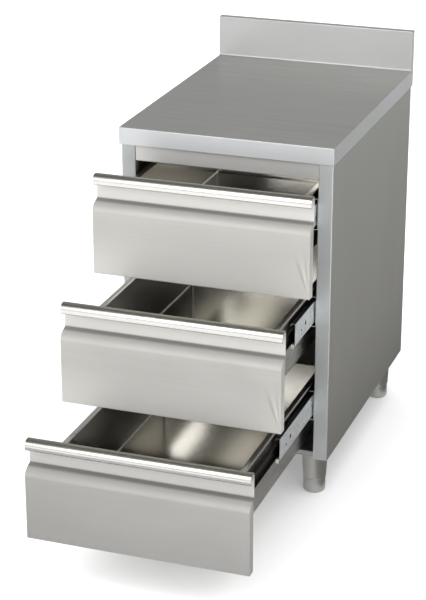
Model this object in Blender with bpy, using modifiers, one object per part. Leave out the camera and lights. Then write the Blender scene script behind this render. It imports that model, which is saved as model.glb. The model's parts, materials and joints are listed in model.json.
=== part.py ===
"""Stainless steel drawer cabinet: worktop with an upstand, carcass on four adjustable feet, three drawers on three-part ball slides.

Metres, +Z up, the drawers open towards -Y. The lists below are in millimetres, with Y measured back from the worktop's front edge; CENTRE_Y moves that to the middle of the whole object at rest.
"""

import math

import bmesh
import bpy
from mathutils import Matrix, Vector

MM = 0.001

# Worktop
WIDTH, DEPTH, TOP_Z = 500.0, 700.0, 850.0
SKIRT, HEM, SHEET = 40.0, 14.0, 1.5
UPSTAND_H, UPSTAND_T = 100.0, 18.0
BOARD_T = 18.0

# Carcass
HALF_CARCASS = 247.0
POST_Y = 8.0
BACK_Y = 697.0
CARCASS_Z = 100.0
PANEL_T = 1.2
POST_IN = 213.5
POST_RETURN = 17.0
RAIL_H = 37.0
FLANGE_H, FLANGE_BACK = 14.0, 10.0
GAP = 0.3

# Feet
FOOT_X, FOOT_Y_FRONT, FOOT_Y_REAR = 205.0, 55.0, 620.0
FOOT_R_TOP, FOOT_R_LOW, ADJUSTER_R = 30.0, 27.2, 26.0
FOOT_JOINT_Z, STEM_R, FOOT_WALL = 35.0, 7.0, 1.8

# Drawers
LEVELS = ("bottom", "middle", "top")
PITCH, FRONT_H, HALF_FRONT = 230.0, 226.0, 248.0
FRONT_T, FRONT_CLEAR = 28.0, 2.0
FACE_H, LEDGE_RISE, LEDGE_R = 157.0, 10.0, 20.0
LIP_H, NOSE_SET, NOSE_R = 22.0, 4.0, 14.0
SKIN_T, RETURN_DEPTH = 1.2, 24.0
TRAY_FLOOR, TRAY_RIM = 38.0, 186.0
TRAY_HALF, TRAY_END, TRAY_T, TRAY_R = 193.9, 642.0, 1.2, 4.0
RIM_W = 12.0
OPEN = {"bottom": 534.0, "middle": 333.0, "top": 142.0}

# Slides, with section numbers measured inwards from the cabinet's mounting plane and up from the slide's middle
SLIDE_WALL, SLIDE_MID = 213.2, 132.0
OUTER_START, OUTER_LEN = 5.0, 550.0
MIDDLE_START, MIDDLE_LEN = 27.0, 525.0
INNER_START, INNER_LEN = 10.0, 550.0
OUTER_CAGE_START, INNER_CAGE_START, CAGE_LEN = 160.0, 175.0, 230.0
SECTIONS = {
    "outer": (1.6, 36.0, 0.0, 12.0),
    "outer_cage": (0.8, 30.6, 2.2, 10.0),
    "intermediate": (1.5, 26.0, 3.8, 15.0),
    "inner_cage": (0.8, 21.3, 6.1, 12.3),
    "inner": (1.5, 17.0, 18.8, 8.5),
}
MIDDLE_LIP = 5.5
HOLES = ((45.0, -6.0, 2.6), (75.0, 0.5, 5.0))
SHARE = {
    "outer": 0.0,
    "outer_cage": 0.25,
    "intermediate": 0.5,
    "inner_cage": 0.75,
    "inner": 1.0,
}

FRONT_FACE = POST_Y - FRONT_CLEAR - FRONT_T
CENTRE_Y = (DEPTH + FRONT_FACE - max(OPEN.values())) / 2

STEEL = ((0.60, 0.60, 0.58), 1.0, 0.33)
ZINC = ((0.56, 0.59, 0.62), 1.0, 0.42)
CAGE = ((0.46, 0.46, 0.44), 1.0, 0.5)
BOARD = ((0.36, 0.27, 0.18), 0.0, 0.75)

for old in list(bpy.data.objects):
    bpy.data.objects.remove(old, do_unlink=True)

PARTS = bpy.data.collections.new("stainless_drawer_cabinet")
CUTTERS = bpy.data.collections.new("cutters")
CUTTERS.hide_render = True
for made in (PARTS, CUTTERS):
    bpy.context.scene.collection.children.link(made)


# ---------------------------------------------------------------- outlines


def unit(a, b):
    long = math.hypot(b[0] - a[0], b[1] - a[1])
    return (b[0] - a[0]) / long, (b[1] - a[1]) / long


def bend(path, i, radius, steps):
    """Points and left normals of the arc that rounds corner i of a path."""
    before, here, after = path[i - 1], path[i], path[(i + 1) % len(path)]
    d0, d1 = unit(before, here), unit(here, after)
    turn = math.atan2(d0[0] * d1[1] - d0[1] * d1[0], d0[0] * d1[0] + d0[1] * d1[1])
    if radius == 0 or abs(turn) < 1e-6:
        half = turn / 2
        d = (
            d0[0] * math.cos(half) - d0[1] * math.sin(half),
            d0[0] * math.sin(half) + d0[1] * math.cos(half),
        )
        return [(here, (-d[1], d[0]))]
    side = math.copysign(1.0, turn)
    back = radius * math.tan(abs(turn) / 2)
    start = here[0] - d0[0] * back, here[1] - d0[1] * back
    centre = start[0] - d0[1] * radius * side, start[1] + d0[0] * radius * side
    found = []
    for k in range(steps + 1):
        a = turn * k / steps
        d = (
            d0[0] * math.cos(a) - d0[1] * math.sin(a),
            d0[0] * math.sin(a) + d0[1] * math.cos(a),
        )
        normal = (-d[1], d[0])
        found.append(
            (
                (
                    centre[0] - normal[0] * radius * side,
                    centre[1] - normal[1] * radius * side,
                ),
                normal,
            )
        )
    return found


def folded(path, thickness, bends):
    """The closed outline of a sheet whose middle line follows path; bends gives (radius, steps) for each inner corner."""
    line = []
    for i, point in enumerate(path):
        if 0 < i < len(path) - 1:
            line += bend(path, i, *bends[i - 1])
            continue
        d = unit(path[0], path[1]) if i == 0 else unit(path[-2], path[-1])
        line.append((point, (-d[1], d[0])))
    half = thickness / 2
    left = [(p[0] + n[0] * half, p[1] + n[1] * half) for p, n in line]
    right = [(p[0] - n[0] * half, p[1] - n[1] * half) for p, n in line]
    return left + right[::-1]


def rounded(points, radii, steps=4):
    """A closed outline with each corner rounded by its radius."""
    return [
        point
        for i, radius in enumerate(radii)
        for point, _ in bend(points, i, radius, steps)
    ]


# ---------------------------------------------------------------- solids

PLANES = {
    "yz": Matrix(((0, 0, 1, 0), (1, 0, 0, 0), (0, 1, 0, 0), (0, 0, 0, 1))),
    "xz": Matrix(((1, 0, 0, 0), (0, 0, -1, 0), (0, 1, 0, 0), (0, 0, 0, 1))),
    "xy": Matrix.Identity(4),
}


def clean(mesh):
    work = bmesh.new()
    work.from_mesh(mesh)
    bmesh.ops.remove_doubles(work, verts=work.verts, dist=1e-7)
    bmesh.ops.recalc_face_normals(work, faces=work.faces)
    work.to_mesh(mesh)
    work.free()
    return mesh


def prism(name, outline, plane, low, high, collection=PARTS):
    """The outline drawn on a plane and extruded across it from low to high."""
    curve = bpy.data.curves.new(name + "_outline", "CURVE")
    curve.dimensions, curve.fill_mode = "2D", "BOTH"
    curve.extrude = (high - low) / 2 * MM
    spline = curve.splines.new("POLY")
    spline.points.add(len(outline) - 1)
    for point, (u, v) in zip(spline.points, outline):
        point.co = (u * MM, v * MM, 0.0, 1.0)
    spline.use_cyclic_u = True
    guide = bpy.data.objects.new(name + "_outline", curve)
    mesh = bpy.data.meshes.new_from_object(guide)
    bpy.data.objects.remove(guide)
    bpy.data.curves.remove(curve)
    mesh.transform(PLANES[plane])
    across = {"yz": (1, 0, 0), "xz": (0, 1, 0), "xy": (0, 0, 1)}[plane]
    mesh.transform(Matrix.Translation(Vector(across) * (low + high) / 2 * MM))
    return placed(name, clean(mesh), collection)


def block(name, x, y, z, collection=PARTS):
    work = bmesh.new()
    bmesh.ops.create_cube(work, size=1.0)
    for vert in work.verts:
        for axis, (low, high) in enumerate((x, y, z)):
            vert.co[axis] = (low if vert.co[axis] < 0 else high) * MM
    mesh = bpy.data.meshes.new(name)
    work.to_mesh(mesh)
    work.free()
    return placed(name, mesh, collection)


def bar(name, centre, radius, low, high, collection=CUTTERS):
    """A round bar along X."""
    work = bmesh.new()
    bmesh.ops.create_cone(
        work,
        cap_ends=True,
        segments=14,
        radius1=radius * MM,
        radius2=radius * MM,
        depth=(high - low) * MM,
        matrix=Matrix.Translation(
            (((low + high) / 2 * MM, centre[0] * MM, centre[1] * MM))
        )
        @ Matrix.Rotation(math.pi / 2, 4, "Y"),
    )
    mesh = bpy.data.meshes.new(name)
    work.to_mesh(mesh)
    work.free()
    return placed(name, mesh, collection)


def turned(name, profile, x, y):
    """A profile of (radius, height) points, from the axis back to the axis, turned about a vertical line at x, y."""
    mesh = bpy.data.meshes.new(name)
    mesh.from_pydata(
        [(r * MM, 0.0, z * MM) for r, z in profile],
        [(i, i + 1) for i in range(len(profile) - 1)],
        [],
    )
    obj = placed(name, mesh, PARTS)
    obj.location = (x * MM, y * MM, 0.0)
    screw = obj.modifiers.new("turn", "SCREW")
    screw.axis, screw.angle = "Z", 2 * math.pi
    screw.steps = screw.render_steps = 24
    screw.use_merge_vertices, screw.merge_threshold = True, 1e-5
    screw.use_normal_calculate = screw.use_smooth_shade = True
    return obj


def placed(name, mesh, collection):
    mesh.name = name
    if mesh.polygons:
        mesh.shade_smooth()
        mesh.set_sharp_from_angle(angle=math.radians(35))
    obj = bpy.data.objects.new(name, mesh)
    collection.objects.link(obj)
    if collection is CUTTERS:
        obj.hide_render, obj.display_type = True, "WIRE"
    return obj


def boolean(obj, other, operation):
    step = obj.modifiers.new(other.name, "BOOLEAN")
    step.operation, step.object, step.solver = operation, other, "EXACT"


def painted(obj, finish):
    colour, metallic, rough = finish
    material = bpy.data.materials.new(obj.name)
    material.use_nodes = True
    shader = material.node_tree.nodes["Principled BSDF"]
    shader.inputs["Base Color"].default_value = (*colour, 1.0)
    shader.inputs["Metallic"].default_value = metallic
    shader.inputs["Roughness"].default_value = rough
    obj.data.materials.append(material)
    return obj


# ---------------------------------------------------------------- worktop


def worktop():
    low = TOP_Z - SKIRT
    inner = DEPTH - UPSTAND_T
    head = TOP_Z + UPSTAND_H
    body = prism(
        "worktop",
        rounded(
            [(0, low), (0, TOP_Z), (inner, TOP_Z), (inner, head), (DEPTH, head), (DEPTH, low)],
            [0, 2.5, 5.0, 2.5, 2.5, 0],
        ),
        "yz",
        -WIDTH / 2,
        WIDTH / 2,
    )
    hollow = prism(
        "worktop_hollow",
        [
            (SHEET, low + SHEET),
            (SHEET, TOP_Z - SHEET),
            (inner + SHEET, TOP_Z - SHEET),
            (inner + SHEET, head - SHEET),
            (DEPTH - SHEET, head - SHEET),
            (DEPTH - SHEET, low + SHEET),
        ],
        "yz",
        -WIDTH / 2 + SHEET,
        WIDTH / 2 - SHEET,
        CUTTERS,
    )
    mouth = block(
        "worktop_mouth",
        (-WIDTH / 2 + HEM, WIDTH / 2 - HEM),
        (HEM, DEPTH - HEM),
        (low - 5, low + 5),
        CUTTERS,
    )
    boolean(body, hollow, "DIFFERENCE")
    boolean(body, mouth, "DIFFERENCE")
    painted(body, STEEL)
    inside = SHEET + GAP
    board = block(
        "worktop_core_board",
        (-WIDTH / 2 + inside, WIDTH / 2 - inside),
        (inside, inner),
        (TOP_Z - inside - BOARD_T, TOP_Z - inside),
    )
    painted(board, BOARD)


# ---------------------------------------------------------------- carcass


def carcass():
    top = TOP_Z - SKIRT - GAP
    t = PANEL_T
    half = t / 2
    for side, name in ((-1, "left"), (1, "right")):
        path = [
            (side * (POST_IN + half), POST_Y + POST_RETURN),
            (side * (POST_IN + half), POST_Y + half),
            (side * (HALF_CARCASS - half), POST_Y + half),
            (side * (HALF_CARCASS - half), BACK_Y - half),
            (side * (HALF_CARCASS - 16), BACK_Y - half),
        ]
        panel = prism(
            f"side_panel_{name}",
            folded(path, t, [(1.6, 3), (1.8, 3), (1.8, 3)]),
            "xy",
            CARCASS_Z,
            top,
        )
        painted(panel, STEEL)
        wall = POST_IN + half
        upright = prism(
            f"slide_upright_{name}",
            folded(
                [
                    (side * (HALF_CARCASS - t - GAP), POST_Y + 507),
                    (side * wall, POST_Y + 507),
                    (side * wall, POST_Y + 547),
                    (side * (HALF_CARCASS - t - GAP), POST_Y + 547),
                ],
                t,
                [(1.8, 3), (1.8, 3)],
            ),
            "xy",
            CARCASS_Z + FLANGE_H + GAP,
            top - 8,
        )
        painted(upright, ZINC)

    inside = HALF_CARCASS - t - 1.8
    back = BACK_Y - t - GAP - half
    painted(
        prism(
            "back_panel",
            folded(
                [
                    (back - 18, CARCASS_Z + half),
                    (back, CARCASS_Z + half),
                    (back, top - half),
                    (back - 18, top - half),
                ],
                t,
                [(1.8, 3), (1.8, 3)],
            ),
            "yz",
            -inside,
            inside,
        ),
        STEEL,
    )
    front = POST_Y + FLANGE_BACK + half
    floor = CARCASS_Z + FLANGE_H - half
    base = prism(
        "bottom_panel",
        folded(
            [
                (front + 5.5, CARCASS_Z + half),
                (front, CARCASS_Z + half),
                (front, floor),
                (back - half - GAP, floor),
            ],
            t,
            [(1.6, 3), (1.6, 3)],
        ),
        "yz",
        -inside,
        inside,
    )
    for side, name in ((-1, "left"), (1, "right")):
        near, far = side * (POST_IN - GAP), side * (HALF_CARCASS + 5)
        boolean(
            base,
            block(
                f"bottom_notch_{name}",
                (min(near, far), max(near, far)),
                (POST_Y - 5, POST_Y + POST_RETURN + GAP),
                (CARCASS_Z - 5, CARCASS_Z + FLANGE_H + 5),
                CUTTERS,
            ),
            "DIFFERENCE",
        )
    painted(base, STEEL)
    between = POST_IN - GAP
    low = top - RAIL_H
    painted(
        prism(
            "top_front_rail",
            folded(
                [
                    (POST_Y + 26, low + half),
                    (POST_Y + 1 + half, low + half),
                    (POST_Y + 1 + half, top - half),
                    (POST_Y + 30, top - half),
                ],
                t,
                [(1.8, 3), (1.8, 3)],
            ),
            "yz",
            -between,
            between,
        ),
        STEEL,
    )
    rear = back - 18 - GAP - half
    painted(
        prism(
            "top_rear_rail",
            folded(
                [
                    (rear - 28, top - half),
                    (rear - half, top - half),
                    (rear - half, low + half),
                    (rear - 24, low + half),
                ],
                t,
                [(1.8, 3), (1.8, 3)],
            ),
            "yz",
            -inside,
            inside,
        ),
        STEEL,
    )


# ---------------------------------------------------------------- feet


def feet():
    head = CARCASS_Z + FLANGE_H - PANEL_T - GAP
    low = FOOT_JOINT_Z + GAP
    tube = [
        (0, head),
        (FOOT_R_TOP, head),
        (FOOT_R_TOP, CARCASS_Z - 4),
        (FOOT_R_LOW, low + 1.2),
        (FOOT_R_LOW - 1.2, low),
        (STEM_R + GAP, low),
        (STEM_R + GAP, low + 15),
        (FOOT_R_LOW - FOOT_WALL + 0.4, low + 15),
        (FOOT_R_TOP - FOOT_WALL, CARCASS_Z - 4),
        (FOOT_R_TOP - FOOT_WALL, head - 3),
        (0, head - 3),
    ]
    adjuster = [
        (0, FOOT_JOINT_Z + 47),
        (STEM_R - 1, FOOT_JOINT_Z + 47),
        (STEM_R, FOOT_JOINT_Z + 46),
        (STEM_R, FOOT_JOINT_Z),
        (ADJUSTER_R, FOOT_JOINT_Z),
        (ADJUSTER_R, 6),
        (ADJUSTER_R - 0.9, 2.6),
        (ADJUSTER_R - 3, 0.6),
        (ADJUSTER_R - 5, 0),
        (0, 0),
    ]
    for y, row in ((FOOT_Y_FRONT, "front"), (FOOT_Y_REAR, "rear")):
        for side, name in ((-1, "left"), (1, "right")):
            painted(
                turned(f"foot_tube_{row}_{name}", tube, side * FOOT_X, y),
                STEEL,
            )
            painted(
                turned(
                    f"foot_adjuster_{row}_{name}",
                    adjuster,
                    side * FOOT_X,
                    y,
                ),
                STEEL,
            )


# ---------------------------------------------------------------- drawers


def front(level, base, shift):
    """The formed skin: bottom return, face, ledge, neck and the rolled handle, with a return folded back at each end."""
    half = SKIN_T / 2
    face = FRONT_FACE + half - shift
    neck = FRONT_FACE + FRONT_T - half - shift
    nose = FRONT_FACE + NOSE_SET + half - shift
    top = base + FRONT_H - half
    lip = base + FRONT_H - LIP_H + half
    path = [
        (face + RETURN_DEPTH - 2, base + half),
        (face, base + half),
        (face, base + FACE_H),
        (neck, base + FACE_H + LEDGE_RISE),
        (neck, top),
        (nose, top),
        (nose, lip),
        (nose + 6, lip),
    ]
    bends = [(2.0, 3), (LEDGE_R, 6), (4.0, 4), (5.0, 4), (NOSE_R, 8), (1.6, 3)]
    skin = prism(
        f"drawer_{level}_front",
        folded(path, SKIN_T, bends),
        "yz",
        -HALF_FRONT,
        HALF_FRONT,
    )
    end = face + RETURN_DEPTH - half
    outline = [(face, base + half)]
    outline += [point for point, _ in bend(path, 2, *bends[1])]
    outline += [
        (end, base + FACE_H + LEDGE_RISE * (end - face) / (neck - face)),
        (end, base + half),
    ]
    for side, name in ((-1, "left"), (1, "right")):
        near, far = side * (HALF_FRONT - SKIN_T), side * HALF_FRONT
        boolean(
            skin,
            prism(
                f"{level}_return_{name}",
                outline,
                "yz",
                min(near, far),
                max(near, far),
                CUTTERS,
            ),
            "UNION",
        )
    painted(skin, STEEL)
    rear = face + RETURN_DEPTH - half - 0.5
    inside = HALF_FRONT - SKIN_T - GAP
    liner = prism(
        f"drawer_{level}_front_liner",
        folded(
            [
                (rear - 12, base + SKIN_T + GAP + 0.5),
                (rear, base + SKIN_T + GAP + 0.5),
                (rear, base + FACE_H + 4.5),
                (rear - 9, base + FACE_H + 1.5),
            ],
            1.0,
            [(1.4, 3), (1.4, 3)],
        ),
        "yz",
        -inside,
        inside,
    )
    painted(liner, STEEL)
    return [skin, liner]


def tray(level, base, shift):
    """A pressed tray: an open box with rounded bends and a rim turned outwards, given its sheet thickness."""
    half = TRAY_T / 2
    wide = TRAY_HALF - half
    near = POST_Y - FRONT_CLEAR + GAP + half - shift
    far = POST_Y + TRAY_END - half - shift
    low, high = base + TRAY_FLOOR + half, base + TRAY_RIM - half
    work = bmesh.new()
    bmesh.ops.create_cube(work, size=1.0)
    bmesh.ops.delete(
        work,
        geom=[f for f in work.faces if f.normal.z > 0.5],
        context="FACES_ONLY",
    )
    for vert in work.verts:
        for axis, (a, b) in enumerate(((-wide, wide), (near, far), (low, high))):
            vert.co[axis] = (a if vert.co[axis] < 0 else b) * MM
    bmesh.ops.bevel(
        work,
        geom=[e for e in work.edges if not e.is_boundary],
        offset=TRAY_R * MM,
        offset_type="OFFSET",
        segments=4,
        profile=0.5,
        affect="EDGES",
    )
    lip = bmesh.ops.extrude_edge_only(
        work, edges=[e for e in work.edges if e.is_boundary]
    )
    middle = (near + far) / 2 * MM
    for vert in (g for g in lip["geom"] if isinstance(g, bmesh.types.BMVert)):
        vert.co.x += math.copysign(RIM_W * MM, vert.co.x)
        if vert.co.y > middle:
            vert.co.y += RIM_W * MM
    bmesh.ops.recalc_face_normals(work, faces=work.faces)
    mesh = bpy.data.meshes.new(f"drawer_{level}_tray")
    work.to_mesh(mesh)
    work.free()
    obj = placed(f"drawer_{level}_tray", mesh, PARTS)
    shell = obj.modifiers.new("sheet", "SOLIDIFY")
    shell.thickness, shell.offset = TRAY_T * MM, 0.0
    shell.use_even_offset = True
    return painted(obj, STEEL)


# ---------------------------------------------------------------- slides


def member(level, side, name, kind, base, start, length):
    """One channel of a slide, drawn as a folded section and run along Y."""
    thick, tall, web, reach = SECTIONS[kind]
    half = thick / 2
    z = base + SLIDE_MID
    inwards = math.copysign(1.0, reach - web)
    path = [
        (reach, half - tall),
        (web + inwards * half, half - tall),
        (web + inwards * half, tall - half),
        (reach, tall - half),
    ]
    bends = [(thick * 0.5 + 1.0, 3)] * 2
    if kind == "intermediate":
        path[0] = (reach - half, half - tall)
        path[-1] = (reach - half, tall - half)
        path.insert(0, (reach - half, MIDDLE_LIP - tall))
        path.append((reach - half, tall - MIDDLE_LIP))
        bends = [(thick * 0.5 + 0.8, 3)] * 4
    outline = [
        (side * (SLIDE_WALL - u), z + v) for u, v in folded(path, thick, bends)
    ]
    obj = prism(f"slide_{level}_{name}_{kind}", outline, "xz", start, start + length)
    if kind == "intermediate":
        for i, (back, up, radius) in enumerate(HOLES):
            inner, outer = side * (SLIDE_WALL - 9), side * (SLIDE_WALL - 1)
            boolean(
                obj,
                bar(
                    f"{level}_{name}_hole_{i}",
                    (start + back, z + up),
                    radius,
                    min(inner, outer),
                    max(inner, outer),
                ),
                "DIFFERENCE",
            )
    return painted(obj, CAGE if "cage" in kind else ZINC)


def drawers():
    """Every drawer and its slides at rest, grouped by the share of the drawer's travel that each piece makes."""
    groups = {}
    runs = {
        "outer": (OUTER_START, OUTER_LEN),
        "outer_cage": (OUTER_CAGE_START, CAGE_LEN),
        "intermediate": (MIDDLE_START, MIDDLE_LEN),
        "inner_cage": (INNER_CAGE_START, CAGE_LEN),
        "inner": (INNER_START, INNER_LEN),
    }
    for i, level in enumerate(LEVELS):
        base = CARCASS_Z + PITCH * i
        shift = OPEN[level]
        groups[level, "inner"] = front(level, base, shift) + [tray(level, base, shift)]
        for kind, (start, length) in runs.items():
            for side, name in ((-1, "left"), (1, "right")):
                obj = member(
                    level,
                    side,
                    name,
                    kind,
                    base,
                    POST_Y + start - SHARE[kind] * shift,
                    length,
                )
                groups.setdefault((level, kind), []).append(obj)
    return groups


# ---------------------------------------------------------------- assembly


def centred(obj):
    """Moves a piece's origin to the middle of its own mesh."""
    if obj.location.length > 0:
        return
    points = [v.co for v in obj.data.vertices]
    middle = Vector(
        (min(p[i] for p in points) + max(p[i] for p in points)) / 2 for i in range(3)
    )
    obj.data.transform(Matrix.Translation(-middle))
    obj.location = middle


def guided(name, where, pieces):
    """An empty on the joint's axis that carries the pieces moving on it."""
    guide = bpy.data.objects.new(name, None)
    guide.empty_display_size = 0.05
    PARTS.objects.link(guide)
    guide.location = where
    for piece in pieces:
        piece.parent = guide
        piece.location = piece.location - guide.location


worktop()
carcass()
feet()
moving = drawers()
for piece in list(PARTS.objects) + list(CUTTERS.objects):
    centred(piece)
    piece.location.y -= CENTRE_Y * MM
for (level, kind), pieces in moving.items():
    if kind == "outer":
        continue
    height = CARCASS_Z + PITCH * LEVELS.index(level) + SLIDE_MID
    ahead = POST_Y - SHARE[kind] * OPEN[level] - CENTRE_Y
    label = "drawer" if kind == "inner" else kind
    guided(f"{level}_{label}_slide", (0.0, ahead * MM, height * MM), pieces)
for row, y in (("front", FOOT_Y_FRONT), ("rear", FOOT_Y_REAR)):
    for side, name in ((-1, "left"), (1, "right")):
        guided(
            f"foot_{row}_{name}_screw",
            (side * FOOT_X * MM, (y - CENTRE_Y) * MM, FOOT_JOINT_Z * MM),
            [bpy.data.objects[f"foot_adjuster_{row}_{name}"]],
        )
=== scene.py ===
"""Looks of the stainless steel drawer cabinet: finely folded sheets, formed fronts, trays, ball slides and feet, with brushed finishes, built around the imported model."""

import json
import math

import bmesh
import bpy
from mathutils import Matrix, Vector


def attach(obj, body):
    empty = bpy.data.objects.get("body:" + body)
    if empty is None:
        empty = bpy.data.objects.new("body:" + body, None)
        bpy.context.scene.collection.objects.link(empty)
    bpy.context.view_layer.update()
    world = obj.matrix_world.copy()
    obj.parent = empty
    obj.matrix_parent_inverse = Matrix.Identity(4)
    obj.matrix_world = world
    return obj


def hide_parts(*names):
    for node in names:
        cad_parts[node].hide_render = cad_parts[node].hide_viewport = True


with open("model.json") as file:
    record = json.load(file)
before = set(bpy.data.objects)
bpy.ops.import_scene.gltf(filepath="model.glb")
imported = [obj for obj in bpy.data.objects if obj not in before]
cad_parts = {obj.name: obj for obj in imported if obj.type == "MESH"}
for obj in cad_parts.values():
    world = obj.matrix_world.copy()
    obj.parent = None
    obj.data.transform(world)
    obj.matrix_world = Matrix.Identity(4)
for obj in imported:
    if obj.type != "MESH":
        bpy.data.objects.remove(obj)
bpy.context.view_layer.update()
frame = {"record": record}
RECORD = frame["record"]
BODY_OF = {n: b for b, nodes in RECORD["behaviour"]["bodies"].items() for n in nodes}

# ---------------------------------------------------------------- sizes, in millimetres, Y back from the worktop's front edge

MM = 0.001
CENTRE_Y = 72.0
WIDTH, DEPTH, TOP_Z = 500.0, 700.0, 850.0
SKIRT, HEM, SHEET = 40.0, 14.0, 1.5
UPSTAND_H, UPSTAND_T, BOARD_T = 100.0, 18.0, 18.0
HALF_CARCASS, POST_Y, BACK_Y, CARCASS_Z = 247.0, 8.0, 697.0, 100.0
PANEL_T, POST_IN, POST_RETURN, RAIL_H = 1.2, 213.5, 17.0, 37.0
FLANGE_H, FLANGE_BACK, GAP = 14.0, 10.0, 0.3
FOOT_X, FOOT_Y_FRONT, FOOT_Y_REAR = 205.0, 55.0, 620.0
FOOT_R_TOP, FOOT_R_LOW, ADJUSTER_R = 30.0, 27.2, 26.0
FOOT_JOINT_Z, STEM_R, FOOT_WALL = 35.0, 7.0, 1.8
LEVELS = ("bottom", "middle", "top")
PITCH, FRONT_H, HALF_FRONT = 230.0, 226.0, 248.0
FRONT_T, FRONT_CLEAR = 28.0, 2.0
FACE_H, LEDGE_RISE, LEDGE_R = 157.0, 10.0, 20.0
LIP_H, NOSE_SET, NOSE_R = 22.0, 4.0, 14.0
SKIN_T, RETURN_DEPTH = 1.2, 24.0
TRAY_FLOOR, TRAY_RIM = 38.0, 186.0
TRAY_HALF, TRAY_END, TRAY_T, TRAY_R, RIM_W = 193.9, 642.0, 1.2, 4.0, 12.0
OPEN = {"bottom": 534.0, "middle": 333.0, "top": 142.0}
SLIDE_WALL, SLIDE_MID = 213.2, 132.0
RUNS = {
    "outer": (5.0, 550.0),
    "outer_cage": (160.0, 230.0),
    "intermediate": (27.0, 525.0),
    "inner_cage": (175.0, 230.0),
    "inner": (10.0, 550.0),
}
SECTIONS = {
    "outer": (1.6, 36.0, 0.0, 12.0),
    "outer_cage": (0.8, 30.6, 2.2, 10.0),
    "intermediate": (1.5, 26.0, 3.8, 15.0),
    "inner_cage": (0.8, 21.3, 6.1, 12.3),
    "inner": (1.5, 17.0, 18.8, 8.5),
}
MIDDLE_LIP = 5.5
HOLES = ((45.0, -6.0, 2.6), (75.0, 0.5, 5.0))
SHARE = {
    "outer": 0.0,
    "outer_cage": 0.25,
    "intermediate": 0.5,
    "inner_cage": 0.75,
    "inner": 1.0,
}
FRONT_FACE = POST_Y - FRONT_CLEAR - FRONT_T

WORK = bpy.data.collections.new("work")
bpy.context.scene.collection.children.link(WORK)


# ---------------------------------------------------------------- outlines


def unit(a, b):
    long = math.hypot(b[0] - a[0], b[1] - a[1])
    return (b[0] - a[0]) / long, (b[1] - a[1]) / long


def bend(path, i, radius, steps):
    """Points and left normals of the arc that rounds corner i of a path."""
    before, here, after = path[i - 1], path[i], path[(i + 1) % len(path)]
    d0, d1 = unit(before, here), unit(here, after)
    turn = math.atan2(d0[0] * d1[1] - d0[1] * d1[0], d0[0] * d1[0] + d0[1] * d1[1])
    if radius == 0 or abs(turn) < 1e-6:
        half = turn / 2
        d = (
            d0[0] * math.cos(half) - d0[1] * math.sin(half),
            d0[0] * math.sin(half) + d0[1] * math.cos(half),
        )
        return [(here, (-d[1], d[0]))]
    side = math.copysign(1.0, turn)
    back = radius * math.tan(abs(turn) / 2)
    start = here[0] - d0[0] * back, here[1] - d0[1] * back
    centre = start[0] - d0[1] * radius * side, start[1] + d0[0] * radius * side
    found = []
    for k in range(steps + 1):
        a = turn * k / steps
        d = (
            d0[0] * math.cos(a) - d0[1] * math.sin(a),
            d0[0] * math.sin(a) + d0[1] * math.cos(a),
        )
        n = (-d[1], d[0])
        found.append(
            ((centre[0] - n[0] * radius * side, centre[1] - n[1] * radius * side), n)
        )
    return found


def middle_line(path, bends):
    """Points and left normals along a path whose inner corners are rounded by (radius, steps)."""
    line = []
    for i, point in enumerate(path):
        if 0 < i < len(path) - 1:
            line += bend(path, i, *bends[i - 1])
        else:
            d = unit(path[0], path[1]) if i == 0 else unit(path[-2], path[-1])
            line.append((point, (-d[1], d[0])))
    return line


def rounded(points, radii, steps=6):
    return [p for i, r in enumerate(radii) for p, _ in bend(points, i, r, steps)]


PLACE = {
    "yz": lambda u, v, w: Vector((w, u - CENTRE_Y, v)) * MM,
    "xz": lambda u, v, w: Vector((u, w - CENTRE_Y, v)) * MM,
    "xy": lambda u, v, w: Vector((u, v - CENTRE_Y, w)) * MM,
}


# ---------------------------------------------------------------- meshes


def put(name, work):
    """A finished bmesh as a work object, faces pointing out."""
    bmesh.ops.recalc_face_normals(work, faces=work.faces)
    mesh = bpy.data.meshes.new(name)
    work.to_mesh(mesh)
    work.free()
    mesh.shade_smooth()
    obj = bpy.data.objects.new(name, mesh)
    WORK.objects.link(obj)
    return obj


def sheet(name, path, thickness, bends, plane, low, high):
    """A folded sheet: quads on both skins, its two long edges and its two ends."""
    place = PLACE[plane]
    line = middle_line(path, bends)
    half = thickness / 2
    work = bmesh.new()
    rows = []
    for w in (low, high):
        rows.append(
            [
                [
                    work.verts.new(place(p[0] + n[0] * s, p[1] + n[1] * s, w))
                    for p, n in line
                ]
                for s in (half, -half)
            ]
        )
    (l0, r0), (l1, r1) = rows
    for i in range(len(line) - 1):
        j = i + 1
        work.faces.new((l0[i], l0[j], l1[j], l1[i]))
        work.faces.new((r0[j], r0[i], r1[i], r1[j]))
        work.faces.new((r0[i], r0[j], l0[j], l0[i]))
        work.faces.new((l1[i], l1[j], r1[j], r1[i]))
    for i in (0, len(line) - 1):
        work.faces.new((l0[i], l1[i], r1[i], r0[i]))
    return put(name, work)


def prism(name, outline, plane, low, high):
    place = PLACE[plane]
    work = bmesh.new()
    ends = [[work.verts.new(place(u, v, w)) for u, v in outline] for w in (low, high)]
    work.faces.new(ends[0])
    work.faces.new(ends[1][::-1])
    for i in range(len(outline)):
        j = (i + 1) % len(outline)
        work.faces.new((ends[0][i], ends[0][j], ends[1][j], ends[1][i]))
    return put(name, work)


def bar(name, y, z, radius, low, high, segments=32):
    """A round bar along X."""
    work = bmesh.new()
    bmesh.ops.create_cone(
        work,
        cap_ends=True,
        segments=segments,
        radius1=radius * MM,
        radius2=radius * MM,
        depth=(high - low) * MM,
        matrix=Matrix.Translation(
            ((low + high) / 2 * MM, (y - CENTRE_Y) * MM, z * MM)
        )
        @ Matrix.Rotation(math.pi / 2, 4, "Y"),
    )
    return put(name, work)


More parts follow.
